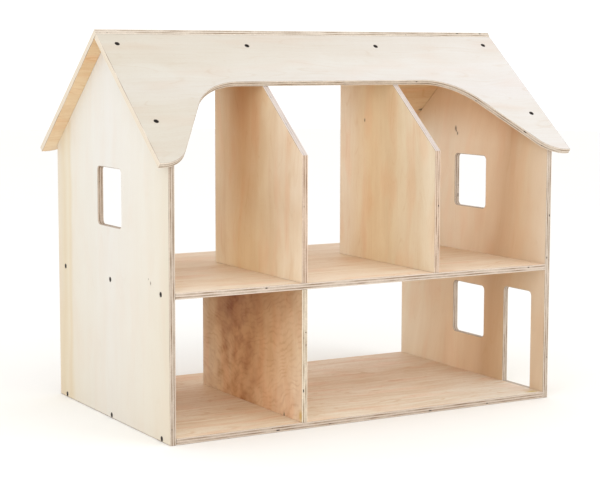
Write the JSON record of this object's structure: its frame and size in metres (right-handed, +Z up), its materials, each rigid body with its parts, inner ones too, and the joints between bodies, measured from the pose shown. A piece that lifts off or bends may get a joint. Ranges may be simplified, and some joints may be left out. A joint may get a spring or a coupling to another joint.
{
  "type": "dollhouse",
  "caption": "Open-fronted and open-backed wooden dollhouse with a pitched roof cut away in a curve, two storeys, dividers, windows and a doorway, screwed from plywood.",
  "frame": {"origin": "middle of the base, on the surface that the house stands on", "axes": "+X along the width, towards the gable with the doorway; +Y to the back; +Z up"},
  "size_m": [0.692, 0.4366, 0.5672],
  "materials": {
    "gable_plywood": "pale birch plywood, sanded, unpainted",
    "roof_plywood": "pale birch plywood, sanded, unpainted",
    "floor_plywood": "warm birch plywood, sanded, unpainted",
    "divider_plywood": "warm birch plywood, sanded, unpainted",
    "dowel_beech": "turned beech, unfinished",
    "screw_steel": "dark phosphate-coated steel"
  },
  "bodies": {
    "root": {"left_gable": "gable_plywood", "right_gable": "gable_plywood", "base_floor": "floor_plywood", "upper_floor": "floor_plywood", "lower_divider": "divider_plywood", "upper_left_divider": "divider_plywood", "upper_right_divider": "divider_plywood", "front_roof": "roof_plywood", "rear_roof": "roof_plywood", "left_gable_screw_1": "screw_steel", "left_gable_screw_2": "screw_steel", "left_gable_screw_3": "screw_steel", "left_gable_screw_4": "screw_steel", "left_gable_screw_5": "screw_steel", "left_gable_screw_6": "screw_steel", "right_gable_screw_1": "screw_steel", "right_gable_screw_2": "screw_steel", "right_gable_screw_3": "screw_steel", "right_gable_screw_4": "screw_steel", "right_gable_screw_5": "screw_steel", "right_gable_screw_6": "screw_steel", "front_roof_screw_1": "screw_steel", "front_roof_screw_2": "screw_steel", "front_roof_screw_3": "screw_steel", "front_roof_screw_4": "screw_steel", "front_roof_screw_5": "screw_steel", "front_roof_screw_6": "screw_steel", "rear_roof_screw_1": "screw_steel", "rear_roof_screw_2": "screw_steel", "rear_roof_screw_3": "screw_steel", "rear_roof_screw_4": "screw_steel", "rear_roof_screw_5": "screw_steel", "rear_roof_screw_6": "screw_steel", "lower_divider_screw_1": "screw_steel", "lower_divider_screw_2": "screw_steel", "lower_divider_screw_3": "screw_steel", "upper_left_divider_screw_1": "screw_steel", "upper_left_divider_screw_2": "screw_steel", "upper_left_divider_screw_3": "screw_steel", "upper_right_divider_screw_1": "screw_steel", "upper_right_divider_screw_2": "screw_steel", "upper_right_divider_screw_3": "screw_steel", "lower_divider_dowel_1": "dowel_beech", "lower_divider_dowel_2": "dowel_beech"}
  },
  "joints": []
}
